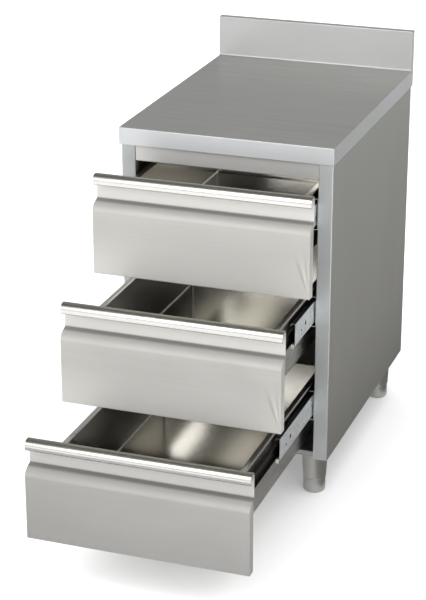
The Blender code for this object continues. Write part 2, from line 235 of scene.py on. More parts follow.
def turned(name, profile, x, y, steps=64):
    """A profile of (radius, height), axis to axis, turned about a vertical line."""
    work = bmesh.new()
    centre = Vector((x, y - CENTRE_Y, 0.0))
    rings = []
    for r, z in profile:
        if r < 1e-6:
            rings.append([work.verts.new((centre + Vector((0, 0, z))) * MM)])
            continue
        rings.append(
            [
                work.verts.new(
                    (
                        centre
                        + Vector(
                            (
                                r * math.cos(2 * math.pi * k / steps),
                                r * math.sin(2 * math.pi * k / steps),
                                z,
                            )
                        )
                    )
                    * MM
                )
                for k in range(steps)
            ]
        )
    for a, b in zip(rings, rings[1:]):
        for k in range(steps):
            n = (k + 1) % steps
            if len(a) == 1:
                work.faces.new((a[0], b[n], b[k]))
            elif len(b) == 1:
                work.faces.new((a[k], a[n], b[0]))
            else:
                work.faces.new((a[k], a[n], b[n], b[k]))
    return put(name, work)


def modifier(obj, kind, **values):
    step = obj.modifiers.new(kind.lower(), kind)
    for key, value in values.items():
        setattr(step, key, value)
    return step


def cut(obj, other, operation="DIFFERENCE"):
    modifier(obj, "BOOLEAN", operation=operation, object=other, solver="EXACT")


def softened(obj, width, segments=2, angle=40.0):
    modifier(
        obj,
        "BEVEL",
        width=width * MM,
        segments=segments,
        limit_method="ANGLE",
        angle_limit=math.radians(angle),
        use_clamp_overlap=True,
    )
    return obj


def final(obj, name, sharp=50.0):
    """The object as its modifiers leave it, as one clean mesh whose flat areas keep flat shading."""
    modifier(obj, "WEIGHTED_NORMAL", mode="FACE_AREA", weight=90, keep_sharp=False)
    deps = bpy.context.evaluated_depsgraph_get()
    mesh = bpy.data.meshes.new_from_object(
        obj.evaluated_get(deps), preserve_all_data_layers=True, depsgraph=deps
    )
    mesh.name = name
    mesh.materials.clear()
    made = bpy.data.objects.new(name, mesh)
    bpy.context.scene.collection.objects.link(made)
    bpy.data.objects.remove(obj)
    return made


AXES = {"X": Vector((1, 0, 0)), "Y": Vector((0, 1, 0)), "Z": Vector((0, 0, 1))}


def grained(obj, axis, spare="Z"):
    """A UV map whose U runs across the brushing, the way a highlight on brushed steel is drawn out."""
    mesh = obj.data
    uv = mesh.uv_layers.new(name="grain")
    mesh.uv_layers.active = uv
    for face in mesh.polygons:
        n = face.normal
        along = AXES[axis] if abs(n.dot(AXES[axis])) < 0.9 else AXES[spare]
        if abs(n.dot(along)) > 0.9:
            along = AXES["Y"]
        t = (along - n * n.dot(along)).normalized()
        b = n.cross(t)
        for i in face.loop_indices:
            co = mesh.vertices[mesh.loops[i].vertex_index].co
            uv.data[i].uv = (co.dot(b), co.dot(t))
    return obj


def dressed(obj, rule, *materials):
    """Gives the faces their materials; rule turns a face's normal and centre into a material's number."""
    for material in materials:
        obj.data.materials.append(material)
    if rule:
        for face in obj.data.polygons:
            face.material_index = rule(face.normal, face.center)
    return obj


def stands_for(obj, node):
    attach(obj, BODY_OF[node])
    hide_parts(node)
    return obj


def rides(obj, body):
    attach(obj, body)
    return obj


# ---------------------------------------------------------------- materials


class Tree:
    """A small helper for writing node trees."""

    def __init__(self, material):
        self.tree = material.node_tree

    def node(self, kind, **values):
        made = self.tree.nodes.new(kind)
        for key, value in values.items():
            setattr(made, key, value)
        return made

    def link(self, a, b):
        self.tree.links.new(a, b)

    def math(self, operation, a, b=None, c=None, clamp=False):
        made = self.node("ShaderNodeMath", operation=operation, use_clamp=clamp)
        for i, x in enumerate((a, b, c)):
            if x is None:
                continue
            if isinstance(x, (int, float)):
                made.inputs[i].default_value = x
            else:
                self.link(x, made.inputs[i])
        return made.outputs[0]

    def noise(self, vector, scale, detail=2.0, roughness=0.55, distortion=0.0):
        made = self.node("ShaderNodeTexNoise", noise_dimensions="3D")
        made.inputs["Scale"].default_value = scale
        made.inputs["Detail"].default_value = detail
        made.inputs["Roughness"].default_value = roughness
        made.inputs["Distortion"].default_value = distortion
        self.link(vector, made.inputs["Vector"])
        return made.outputs["Fac"]

    def stretched(self, vector, scale, place=(0, 0, 0)):
        made = self.node("ShaderNodeMapping")
        made.inputs["Scale"].default_value = scale
        made.inputs["Location"].default_value = place
        self.link(vector, made.inputs["Vector"])
        return made.outputs["Vector"]

    def ramp(self, value, low, high, out_low=0.0, out_high=1.0, smooth=True):
        made = self.node(
            "ShaderNodeMapRange",
            interpolation_type="SMOOTHSTEP" if smooth else "LINEAR",
            clamp=True,
        )
        for i, x in enumerate((low, high, out_low, out_high)):
            made.inputs[i + 1].default_value = x
        self.link(value, made.inputs[0])
        return made.outputs[0]

    def blend(self, factor, a, b):
        made = self.node("ShaderNodeMix", data_type="RGBA")
        if isinstance(factor, (int, float)):
            made.inputs[0].default_value = factor
        else:
            self.link(factor, made.inputs[0])
        for i, x in ((6, a), (7, b)):
            if isinstance(x, tuple):
                made.inputs[i].default_value = (*x, 1.0)
            else:
                self.link(x, made.inputs[i])
        return made.outputs[2]


def lighter(colour, by):
    return tuple(min(1.0, c * by) for c in colour)


def brushed(
    name,
    colour,
    rough,
    axis="X",
    shine=0.45,
    grain=0.10,
    smear=0.08,
    bumps=0.25,
    wave=0.0,
    wear=(),
    seed=0.0,
    dent=None,
    painted_ledge_shade=0.0,
    haze=0.0,
):
    """Brushed steel: fine and coarse streaks along axis, soft smears, faint scratches and rubbed edges.
    wear lists (axis number, place in metres, reach in metres) of edges that are rubbed bright.
    For drawer fronts, the ledge share sets how much the tone of their upward-facing ledge changes, darker for the
    negative shares used here: a painted shade by facing. The ledge is also duller, a darker line along its crease is
    painted shade, and the neck above is painted paler, a painted light.
    haze is the share of light that a dull, cloudy surface scatters evenly; on a very hazy front the tone is also
    painted paler downwards, a painted reflection of the bright floor."""
    material = bpy.data.materials.new(name)
    material.use_nodes = True
    t = Tree(material)
    shader = t.tree.nodes["Principled BSDF"]
    at = t.node("ShaderNodeTexCoord").outputs["Object"]

    def scale(along, across):
        return tuple(along if a == axis else across for a in "XYZ")

    fine = t.noise(t.stretched(at, scale(9.0, 1500.0), (seed, seed, seed)), 1.0, 2.0, 0.6)
    band = t.noise(t.stretched(at, scale(2.2, 210.0), (seed + 7, seed, seed)), 1.0, 3.0, 0.6)
    smudge = t.noise(t.stretched(at, scale(3.0, 5.0), (seed, seed + 3, seed)), 1.0, 3.0, 0.5, 0.6)
    mark = t.noise(t.stretched(at, scale(14.0, 620.0), (seed, seed, seed + 11)), 1.0, 1.0, 0.4, 0.4)
    scratch = t.ramp(mark, 0.735, 0.79)

    streak = t.math("MULTIPLY_ADD", fine, 0.6, t.math("MULTIPLY", band, 0.4))
    tone = t.blend(
        t.ramp(streak, 0.3, 0.7, smooth=False),
        lighter(colour, 1.0 - grain),
        lighter(colour, 1.0 + grain * 0.8),
    )
    tone = t.blend(
        t.math("MULTIPLY", t.ramp(smudge, 0.42, 0.72), smear * 1.6),
        tone,
        lighter(colour, 0.72),
    )
    tone = t.blend(t.math("MULTIPLY", scratch, 0.25), tone, lighter(colour, 1.25))
    parts = t.node("ShaderNodeSeparateXYZ")
    t.link(at, parts.inputs[0])
    rubbed = None
    for number, place, reach in wear:
        off = t.math("ABSOLUTE", t.math("SUBTRACT", parts.outputs[number], place))
        near = t.ramp(off, 0.0, reach, 1.0, 0.0)
        rubbed = near if rubbed is None else t.math("MAXIMUM", rubbed, near)
    value = t.math("MULTIPLY_ADD", t.math("SUBTRACT", streak, 0.5), 0.7 * rough, rough)
    value = t.math("MULTIPLY_ADD", t.math("SUBTRACT", smudge, 0.5), smear * 1.2, value)
    if rubbed is not None:
        worn = t.math("MULTIPLY", rubbed, t.ramp(band, 0.35, 0.65))
        tone = t.blend(t.math("MULTIPLY", worn, 0.35), tone, lighter(colour, 1.28))
        value = t.math("MULTIPLY_ADD", worn, -0.06, value)
    if painted_ledge_shade:
        facing = t.node("ShaderNodeSeparateXYZ")
        t.link(t.node("ShaderNodeNewGeometry").outputs["Normal"], facing.inputs[0])
        # Upward-facing ledge faces: their tone changes by the ledge share, a painted shade by facing, and they are a
        # little rougher.
        back = t.ramp(facing.outputs[2], 0.15, 0.8)
        tone = t.blend(back, tone, lighter(colour, 1.0 + painted_ledge_shade))
        value = t.math("MULTIPLY_ADD", back, 0.15, value)
        high = t.math("FLOORED_MODULO", t.math("SUBTRACT", parts.outputs[2], CARCASS_Z * MM), PITCH * MM)
        # A very hazy front is painted paler towards its bottom edge: a painted reflection of the bright floor.
        if haze > 0.4:
            low = t.ramp(high, 0.0, FACE_H * 0.75 * MM, 1.0, 0.0)
            tone = t.blend(t.math("MULTIPLY", low, 0.75), tone, lighter(colour, 1.42))
        # The neck above the ledge is painted paler: a painted light.
        neck = t.ramp(high, (FACE_H + LEDGE_RISE + 1.0) * MM, (FACE_H + LEDGE_RISE + 5.0) * MM)
        tone = t.blend(neck, tone, lighter(colour, 1.36))
        # A darker line along the ledge's crease, broken up by the streaks: painted shade.
        off = t.math("ABSOLUTE", t.math("SUBTRACT", high, (FACE_H + LEDGE_RISE - 1.0) * MM))
        crease_painted_shade = t.math("MULTIPLY", t.ramp(off, 0.0008, 0.0042, 1.0, 0.0), t.ramp(band, 0.2, 0.6, 0.7, 0.95))
        tone = t.blend(crease_painted_shade, tone, lighter(colour, 0.42))
    value = t.math("MULTIPLY_ADD", scratch, 0.08, value, clamp=True)
    t.link(tone, shader.inputs["Base Color"])
    t.link(value, shader.inputs["Roughness"])
    shader.inputs["Metallic"].default_value = 1.0 - haze
    shader.inputs["Anisotropic"].default_value = shine
    tangent = t.node("ShaderNodeTangent", direction_type="UV_MAP", uv_map="grain")
    t.link(tangent.outputs[0], shader.inputs["Tangent"])
    height = t.math("MULTIPLY_ADD", scratch, -0.5, t.math("MULTIPLY", streak, 1.0))
    bump = t.node("ShaderNodeBump")
    bump.inputs["Strength"].default_value = bumps
    bump.inputs["Distance"].default_value = 0.00004
    t.link(height, bump.inputs["Height"])
    if wave:
        swell = t.noise(t.stretched(at, scale(2.6, 4.2), (seed + 2, seed + 5, seed)), 1.0, 1.0, 0.4)
        flat = t.node("ShaderNodeBump")
        flat.inputs["Strength"].default_value = 1.0
        flat.inputs["Distance"].default_value = wave
        t.link(swell, flat.inputs["Height"])
        t.link(flat.outputs[0], bump.inputs["Normal"])
        if dent:
            strained = t.node("ShaderNodeBump")
            strained.inputs["Strength"].default_value = 1.0
            strained.inputs["Distance"].default_value = 1.0
            t.link(dent(t, *parts.outputs[:3]), strained.inputs["Height"])
            t.link(strained.outputs[0], flat.inputs["Normal"])
    t.link(bump.outputs[0], shader.inputs["Normal"])
    return material


def corner_strain(t, x, y, z):
    """Height of the faint creases that fan out of a folded front's lower right corner."""
    across = t.math("SUBTRACT", HALF_FRONT * MM, x)
    up = t.math("FLOORED_MODULO", t.math("SUBTRACT", z, CARCASS_Z * MM), PITCH * MM)
    turn = t.math("ARCTAN2", across, up)
    reach = t.math("SQRT", t.math("ADD", t.math("POWER", across, 2.0), t.math("POWER", up, 2.0)))
    ridge = None
    for degrees, half_width, share in ((4.0, 4.0, 0.6), (15.0, 7.0, 1.0)):
        off = t.math("ABSOLUTE", t.math("SUBTRACT", turn, math.radians(degrees)))
        one = t.ramp(off, 0.0, math.radians(half_width), share, 0.0)
        ridge = one if ridge is None else t.math("ADD", ridge, one)
    swell = t.math("MULTIPLY", t.ramp(reach, 0.0, 0.08), t.ramp(reach, 0.05, 0.13, 1.0, 0.0))
    swell = t.math("MULTIPLY", swell, t.ramp(z, 0.28, 0.34, 0.25, 1.0))
    return t.math("MULTIPLY", t.math("MULTIPLY", ridge, swell), 0.0016)


def plated(name, colour, rough):
    """Zinc plate: spangled tone, dull patches and fine rolling lines along the slide."""
    material = bpy.data.materials.new(name)
    material.use_nodes = True
    t = Tree(material)
    shader = t.tree.nodes["Principled BSDF"]
    at = t.node("ShaderNodeTexCoord").outputs["Object"]
    spangle = t.node("ShaderNodeTexVoronoi", feature="F1")
    spangle.inputs["Scale"].default_value = 160.0
    spangle.inputs["Randomness"].default_value = 1.0
    t.link(at, spangle.inputs["Vector"])
    flakes = t.node("ShaderNodeSeparateColor")
    t.link(spangle.outputs["Color"], flakes.inputs[0])
    rolled = t.noise(t.stretched(at, (900.0, 8.0, 900.0)), 1.0, 2.0, 0.6)
    patch = t.noise(t.stretched(at, (14.0, 9.0, 14.0)), 1.0, 3.0, 0.55, 0.4)
    mixed = t.math("MULTIPLY_ADD", flakes.outputs[0], 0.45, t.math("MULTIPLY", rolled, 0.55))
    tone = t.blend(t.ramp(mixed, 0.25, 0.75), lighter(colour, 0.9), lighter(colour, 1.08))
    tone = t.blend(t.math("MULTIPLY", t.ramp(patch, 0.5, 0.75), 0.35), tone, lighter(colour, 0.74))
    value = t.math("MULTIPLY_ADD", t.math("SUBTRACT", mixed, 0.5), 0.22, rough)
    value = t.math("MULTIPLY_ADD", t.math("SUBTRACT", patch, 0.5), 0.25, value, clamp=True)
    t.link(tone, shader.inputs["Base Color"])
    t.link(value, shader.inputs["Roughness"])
    shader.inputs["Metallic"].default_value = 1.0
    bump = t.node("ShaderNodeBump")
    bump.inputs["Strength"].default_value = 0.25
    bump.inputs["Distance"].default_value = 0.00006
    t.link(mixed, bump.inputs["Height"])
    t.link(bump.outputs[0], shader.inputs["Normal"])
    return material


def chipboard(name):
    """Raw particle board: pale and dark chips of a few millimetres, rough."""
    material = bpy.data.materials.new(name)
    material.use_nodes = True
    t = Tree(material)
    shader = t.tree.nodes["Principled BSDF"]
    at = t.node("ShaderNodeTexCoord").outputs["Object"]
    chips = t.node("ShaderNodeTexVoronoi", feature="F1")
    chips.inputs["Scale"].default_value = 1.0
    t.link(t.stretched(at, (210.0, 330.0, 420.0)), chips.inputs["Vector"])
    pick = t.node("ShaderNodeSeparateColor")
    t.link(chips.outputs["Color"], pick.inputs[0])
    dust = t.noise(at, 900.0, 2.0, 0.6)
    tone = t.blend(pick.outputs[0], (0.30, 0.20, 0.11), (0.55, 0.41, 0.25))
    tone = t.blend(t.math("MULTIPLY", t.ramp(pick.outputs[1], 0.8, 0.95), 0.7), tone, (0.17, 0.10, 0.05))
    tone = t.blend(t.math("MULTIPLY", dust, 0.25), tone, (0.62, 0.50, 0.34))
    t.link(tone, shader.inputs["Base Color"])
    t.link(t.ramp(dust, 0.3, 0.7, 0.7, 0.92), shader.inputs["Roughness"])
    bump = t.node("ShaderNodeBump")
    bump.inputs["Strength"].default_value = 0.6
    bump.inputs["Distance"].default_value = 0.0003
    t.link(t.math("ADD", pick.outputs[0], dust), bump.inputs["Height"])
    t.link(bump.outputs[0], shader.inputs["Normal"])
    return material


half_w = WIDTH / 2 * MM
front_y = -CENTRE_Y * MM
# The worktop's top, skirt and upstand are one sheet: their tones are set apart to match how each is lit, a painted
# light and shade, while their grain, anisotropy and roughness differ as finishes.
STEEL_TOP = brushed(
    "steel_worktop", (0.52, 0.525, 0.50), 0.40, "X", 0.5, 0.24, 0.06, 0.35, 0.0002,
    [(0, -half_w, 0.006), (0, half_w, 0.006), (1, front_y, 0.007)], 1.0,
)
STEEL_SKIRT = brushed(
    "steel_skirt", (0.66, 0.675, 0.685), 0.50, "X", 0.8, 0.03, 0.05, 0.08, 0.0001,
    [(2, TOP_Z * MM, 0.004), (2, (TOP_Z - SKIRT) * MM, 0.003)], 2.0,
)
STEEL_UPSTAND = brushed(
    "steel_upstand", (0.50, 0.505, 0.50), 0.44, "X", 0.8, 0.03, 0.06, 0.06, 0.0009,
    [(2, (TOP_Z + UPSTAND_H) * MM, 0.004)], 3.0,
)
STEEL_SIDE = brushed(
    "steel_side", (0.48, 0.48, 0.46), 0.36, "Z", 0.5, 0.04, 0.06, 0.15, 0.0003,
    [(1, (POST_Y - CENTRE_Y) * MM, 0.005), (2, CARCASS_Z * MM, 0.006)], 4.0,
)
# A paler, rougher copy of the side steel for the posts, the side sheets' front faces: the paler tone is painted light,
# the roughness a finish.
STEEL_POST = brushed(
    "steel_post", (0.60, 0.62, 0.615), 0.64, "Z", 0.4, 0.04, 0.10, 0.12, 0.0002,
    [(0, HALF_CARCASS * MM, 0.004), (0, -HALF_CARCASS * MM, 0.004)], 5.0,
)
STEEL_RAIL = brushed("steel_rail", (0.68, 0.675, 0.66), 0.56, "X", 0.7, 0.04, 0.06, 0.12, 0.0002, (), 6.0)
STEEL_PANEL = brushed("steel_panel", (0.50, 0.50, 0.49), 0.38, "Z", 0.5, 0.05, 0.08, 0.18, 0.0004, (), 7.0)
# A darker copy of the panel steel for the bottom panel under the drawers: painted shade.
STEEL_BASE = brushed("steel_base", (0.36, 0.36, 0.35), 0.38, "X", 0.5, 0.05, 0.08, 0.18, 0.0004, (), 8.0)
# Upper fronts: hazy enough for the painted paler-downwards reflection, and they carry the painted ledge shade, crease
# shade and paler neck.
STEEL_FRONT = brushed(
    "steel_front", (0.43, 0.42, 0.398), 0.48, "X", 0.6, 0.09, 0.14, 0.18, 0.0005, (), 9.0,
    corner_strain, -0.18, 0.5,
)
# A darker copy of the front steel for the bottom front, less hazy and without the paler-downwards fade: painted shade.
STEEL_FRONT_LOW = brushed(
    "steel_front_low", (0.435, 0.428, 0.412), 0.50, "X", 0.6, 0.08, 0.16, 0.16, 0.0005, (), 16.0,
    corner_strain, -0.10, 0.3,
)
STEEL_HANDLE = brushed(
    "steel_handle", (0.60, 0.59, 0.565), 0.26, "X", 0.3, 0.04, 0.06, 0.08, 0.0001, (), 13.0,
)
# A darker copy of the handle steel for the handle's upward faces: painted shade.
STEEL_HANDLE_TOP_SHADE = brushed("steel_handle_top_painted_shade", (0.34, 0.33, 0.285), 0.26, "X", 0.3, 0.08, 0.16, 0.10, 0.0001, (), 14.0)
STEEL_TRAY = brushed("steel_tray", (0.48, 0.47, 0.443), 0.145, "Y", 0.2, 0.06, 0.08, 0.12, 0.0003, (), 10.0)
# A pale, hazy copy of the tray steel for the top tray's floor bends: a painted highlight.
STEEL_BEND_HIGHLIGHT = brushed("steel_bend_painted_highlight", (0.88, 0.87, 0.845), 0.30, "Y", 0.2, 0.05, 0.06, 0.10, 0.0, (), 17.0, haze=0.7)
# The lower trays' bends keep about the tray's own tone.
STEEL_BEND_LOW = brushed("steel_bend_low", (0.46, 0.455, 0.435), 0.26, "Y", 0.2, 0.05, 0.06, 0.10, 0.0, (), 18.0, haze=0.22)
# A darker copy of the tray steel for the trays' upright inner corners: painted shade.
STEEL_CORNER_SHADE = brushed("steel_corner_painted_shade", (0.33, 0.325, 0.31), 0.44, "Z", 0.2, 0.06, 0.10, 0.12, 0.0, (), 19.0)
STEEL_TRAY_OUT = brushed("steel_tray_outside", (0.50, 0.49, 0.465), 0.28, "Y", 0.3, 0.04, 0.10, 0.06, 0.0003, (), 15.0)
STEEL_FOOT = brushed("steel_foot", (0.44, 0.435, 0.415), 0.42, "X", 0.3, 0.05, 0.08, 0.18, 0.0, (), 11.0)
ZINC = plated("zinc_plate", (0.86, 0.885, 0.90), 0.52)
# Near-black zinc for the inside of the slide channels and their holes: partly grease, partly painted shade.
GREASE_AND_SHADE = plated("greased_zinc_painted_shade", (0.06, 0.058, 0.05), 0.50)
TAB = plated("bright_zinc", (0.86, 0.87, 0.86), 0.34)
CAGE = plated("pressed_cage", (0.40, 0.40, 0.385), 0.46)
BALL = brushed("bearing_ball", (0.66, 0.66, 0.66), 0.12, "X", 0.0, 0.03, 0.05, 0.05, 0.0, (), 12.0)
BOARD = chipboard("particle_board")


# ---------------------------------------------------------------- worktop


def worktop():
    low, inner, head = TOP_Z - SKIRT, DEPTH - UPSTAND_T, TOP_Z + UPSTAND_H
    body = prism(
        "worktop_body",
        rounded(
            [(0, low), (0, TOP_Z), (inner, TOP_Z), (inner, head), (DEPTH, head), (DEPTH, low)],
            [1.6, 2.5, 5.0, 2.5, 2.5, 1.6],
            8,
        ),
        "yz",
        -WIDTH / 2,
        WIDTH / 2,
    )
    softened(body, 1.5, 4, 60.0)
    hollow = prism(
        "worktop_hollow",
        [
            (SHEET, low + SHEET),
            (SHEET, TOP_Z - SHEET),
            (inner + SHEET, TOP_Z - SHEET),
            (inner + SHEET, head - SHEET),
            (DEPTH - SHEET, head - SHEET),
            (DEPTH - SHEET, low + SHEET),
        ],
        "yz",
        -WIDTH / 2 + SHEET,
        WIDTH / 2 - SHEET,
    )
    mouth = prism(
        "worktop_mouth",
        rounded(
            [
                (-WIDTH / 2 + HEM, HEM),
                (WIDTH / 2 - HEM, HEM),
                (WIDTH / 2 - HEM, DEPTH - HEM),
                (-WIDTH / 2 + HEM, DEPTH - HEM),
            ],
            [1.5] * 4,
        ),
        "xy",
        low - 5,
        low + 5,
    )
    cut(body, hollow)
    cut(body, mouth)
    made = final(body, "worktop_sheet")
    for tool in (hollow, mouth):
        bpy.data.objects.remove(tool)
    wall = (inner - CENTRE_Y - 1.0) * MM

    # Top, skirt and upstand faces of the one sheet take tones that carry painted light and shade.
    def rule(n, c):
        if c.y > wall and c.z > (TOP_Z + 4) * MM:
            return 2
        return 0 if n.z > 0.7 and c.z > (TOP_Z - 4) * MM else 1

    grained(made, "X", "Y")
    dressed(made, rule, STEEL_TOP, STEEL_SKIRT, STEEL_UPSTAND)
    stands_for(made, "worktop")

    inside = SHEET + GAP
    board = prism(
        "board_body",
        rounded(
            [
                (-WIDTH / 2 + inside, inside),
                (WIDTH / 2 - inside, inside),
                (WIDTH / 2 - inside, inner),
                (-WIDTH / 2 + inside, inner),
            ],
            [3.0] * 4,
        ),
        "xy",
        TOP_Z - inside - BOARD_T,
        TOP_Z - inside,
    )
    softened(board, 0.8, 2, 60.0)
    made = final(board, "worktop_core_board_chips")
    dressed(made, None, BOARD)
    stands_for(made, "worktop_core_board")


# ---------------------------------------------------------------- carcass


def carcass():
    top = TOP_Z - SKIRT - GAP
    t, half = PANEL_T, PANEL_T / 2
    for side, name in ((-1, "left"), (1, "right")):
        path = [
            (side * (POST_IN + half), POST_Y + POST_RETURN),
            (side * (POST_IN + half), POST_Y + half),
            (side * (HALF_CARCASS - half), POST_Y + half),
            (side * (HALF_CARCASS - half), BACK_Y - half),
            (side * (HALF_CARCASS - 16), BACK_Y - half),
        ]
        panel = sheet(
            f"side_{name}", path, t, [(1.8, 6), (2.0, 6), (2.0, 6)], "xy", CARCASS_Z, top
        )
        softened(panel, 0.3, 2, 60.0)
        made = final(panel, f"side_panel_{name}_sheet")
        grained(made, "Z", "X")
        # Front-facing post faces take the paler post steel, a painted light.
        dressed(
            made,
            lambda n, c: 1 if abs(n.y) > 0.6 and c.y < (POST_Y + 6 - CENTRE_Y) * MM else 0,
            STEEL_SIDE,
            STEEL_POST,
        )
        stands_for(made, f"side_panel_{name}")
        wall = POST_IN + half
        upright = sheet(
            f"upright_{name}",
            [
                (side * (HALF_CARCASS - t - GAP), POST_Y + 507),
                (side * wall, POST_Y + 507),
                (side * wall, POST_Y + 547),
                (side * (HALF_CARCASS - t - GAP), POST_Y + 547),
            ],
            t,
            [(1.8, 6), (1.8, 6)],
            "xy",
            CARCASS_Z + FLANGE_H + GAP,
            top - 8,
        )
        softened(upright, 0.3, 2, 60.0)
        made = final(upright, f"slide_upright_{name}_sheet")
        dressed(made, None, ZINC)
        stands_for(made, f"slide_upright_{name}")

    inside = HALF_CARCASS - t - 1.8
    back = BACK_Y - t - GAP - half
    panel = sheet(
        "back",
        [
            (back - 18, CARCASS_Z + half),
            (back, CARCASS_Z + half),
            (back, top - half),
            (back - 18, top - half),
        ],
        t,
        [(1.8, 6), (1.8, 6)],
        "yz",
        -inside,
        inside,
    )
    softened(panel, 0.3, 2, 60.0)
    made = final(panel, "back_panel_sheet")
    grained(made, "Z", "X")
    dressed(made, None, STEEL_PANEL)
    stands_for(made, "back_panel")

    near = POST_Y + FLANGE_BACK + half
    floor = CARCASS_Z + FLANGE_H - half
    base = sheet(
        "base",
        [
            (near + 5.5, CARCASS_Z + half),
            (near, CARCASS_Z + half),
            (near, floor),
            (back - half - GAP, floor),
        ],
        t,
        [(1.6, 6), (1.6, 6)],
        "yz",
        -inside,
        inside,
    )
    tools = []
    for side in (-1, 1):
        a, b = side * (POST_IN - GAP), side * (HALF_CARCASS + 5)
        tools.append(
            prism(
                "notch",
                [
                    (min(a, b), POST_Y - 5),
                    (max(a, b), POST_Y - 5),
                    (max(a, b), POST_Y + POST_RETURN + GAP),
                    (min(a, b), POST_Y + POST_RETURN + GAP),
                ],
                "xy",
                CARCASS_Z - 5,
                CARCASS_Z + FLANGE_H + 5,
            )
        )
        cut(base, tools[-1])
    softened(base, 0.3, 2, 60.0)
    made = final(base, "bottom_panel_sheet")
    for tool in tools:
        bpy.data.objects.remove(tool)
    grained(made, "X", "Y")
    dressed(made, None, STEEL_BASE)
    stands_for(made, "bottom_panel")

    between, low = POST_IN - GAP, top - RAIL_H
    rail = sheet(
        "rail",
        [
            (POST_Y + 26, low + half),
            (POST_Y + 1 + half, low + half),
            (POST_Y + 1 + half, top - half),
            (POST_Y + 30, top - half),
        ],
        t,
        [(1.8, 6), (1.8, 6)],
        "yz",
        -between,
        between,
    )
    softened(rail, 0.3, 2, 60.0)
    made = final(rail, "top_front_rail_sheet")
    grained(made, "X", "Y")
    dressed(made, None, STEEL_RAIL)
    stands_for(made, "top_front_rail")
    rear = back - 18 - GAP - half
    rail = sheet(
        "rear_rail",
        [
            (rear - 28, top - half),
            (rear - half, top - half),
            (rear - half, low + half),
            (rear - 24, low + half),
        ],
        t,
        [(1.8, 6), (1.8, 6)],
        "yz",
        -inside,
        inside,
    )
    softened(rail, 0.3, 2, 60.0)
    made = final(rail, "top_rear_rail_sheet")
    grained(made, "X", "Y")
    dressed(made, None, STEEL_RAIL)
    stands_for(made, "top_rear_rail")


def rivets():
    """Blind rivets that hold the back panel to the rear flanges of the sides: domed heads with a hollow in the middle."""
    work = bmesh.new()
    profile = [(0.0, 0.35), (0.9, 0.35), (1.15, 0.75), (1.5, 1.05), (2.2, 0.95), (2.8, 0.6), (3.1, 0.0), (0.0, -0.1)]
    steps = 24
    for x in (-238.5, 238.5):
        for z in (150.0, 302.0, 454.0, 606.0, 758.0):
            rings = []
            for r, out in profile:
                y = (BACK_Y + out - CENTRE_Y) * MM
                if r == 0.0:
                    rings.append([work.verts.new((x * MM, y, z * MM))])
                    continue
                rings.append(
                    [
                        work.verts.new(
                            (
                                (x + r * math.cos(2 * math.pi * k / steps)) * MM,
                                y,
                                (z + r * math.sin(2 * math.pi * k / steps)) * MM,
                            )
                        )
                        for k in range(steps)
                    ]
                )
            for a, b in zip(rings, rings[1:]):
                for k in range(steps):
                    n = (k + 1) % steps
                    if len(a) == 1:
                        work.faces.new((a[0], b[k], b[n]))
                    elif len(b) == 1:
                        work.faces.new((a[n], a[k], b[0]))
                    else:
                        work.faces.new((a[k], b[k], b[n], a[n]))
    made = final(put("rivet_heads", work), "back_rivets")
    grained(made, "X", "Z")
    dressed(made, None, BALL)
    rides(made, "cabinet")


# ---------------------------------------------------------------- feet


def feet():
    head = CARCASS_Z + FLANGE_H - PANEL_T - GAP
    low = FOOT_JOINT_Z + GAP
    tube = [
        (0, head),
        (FOOT_R_TOP - 0.4, head),
        (FOOT_R_TOP, head - 0.4),
        (FOOT_R_TOP, CARCASS_Z - 3.2),
        (FOOT_R_TOP - 0.12, CARCASS_Z - 5.0),
        (FOOT_R_LOW + 0.06, low + 2.2),
        (FOOT_R_LOW - 0.15, low + 1.0),
        (FOOT_R_LOW - 0.7, low + 0.25),
        (FOOT_R_LOW - 1.3, low),
        (STEM_R + GAP + 0.4, low),
        (STEM_R + GAP, low + 0.4),
        (STEM_R + GAP, low + 15),
        (FOOT_R_LOW - FOOT_WALL + 0.4, low + 15),
        (FOOT_R_TOP - FOOT_WALL, CARCASS_Z - 4),
        (FOOT_R_TOP - FOOT_WALL, head - 3),
        (0, head - 3),
    ]
    adjuster = [(0, FOOT_JOINT_Z + 47), (STEM_R - 1.2, FOOT_JOINT_Z + 47)]
    z = FOOT_JOINT_Z + 45.6
    while z > FOOT_JOINT_Z + 3:
        adjuster += [(STEM_R, z), (STEM_R, z - 0.25), (STEM_R - 0.95, z - 1.0), (STEM_R - 0.95, z - 1.25)]
        z -= 2.0
    adjuster += [
        (STEM_R - 0.95, FOOT_JOINT_Z),
        (ADJUSTER_R - 1.2, FOOT_JOINT_Z),
        (ADJUSTER_R - 0.5, FOOT_JOINT_Z - 0.2),
        (ADJUSTER_R - 0.1, FOOT_JOINT_Z - 0.6),
        (ADJUSTER_R, FOOT_JOINT_Z - 1.2),
        (ADJUSTER_R, 7.0),
        (ADJUSTER_R - 0.25, 5.0),
        (ADJUSTER_R - 0.9, 3.0),
        (ADJUSTER_R - 1.9, 1.5),
        (ADJUSTER_R - 3.2, 0.5),
        (ADJUSTER_R - 5, 0),
        (0, 0),
    ]
    for y, row in ((FOOT_Y_FRONT, "front"), (FOOT_Y_REAR, "rear")):
        for side, name in ((-1, "left"), (1, "right")):
            for kind, profile in (("tube", tube), ("adjuster", adjuster)):
                made = turned("foot", profile, side * FOOT_X, y, 72)
                made = final(made, f"foot_{kind}_{row}_{name}_turned")
                grained(made, "Z", "X")
                dressed(made, None, STEEL_FOOT)
                stands_for(made, f"foot_{kind}_{row}_{name}")


# ---------------------------------------------------------------- drawers


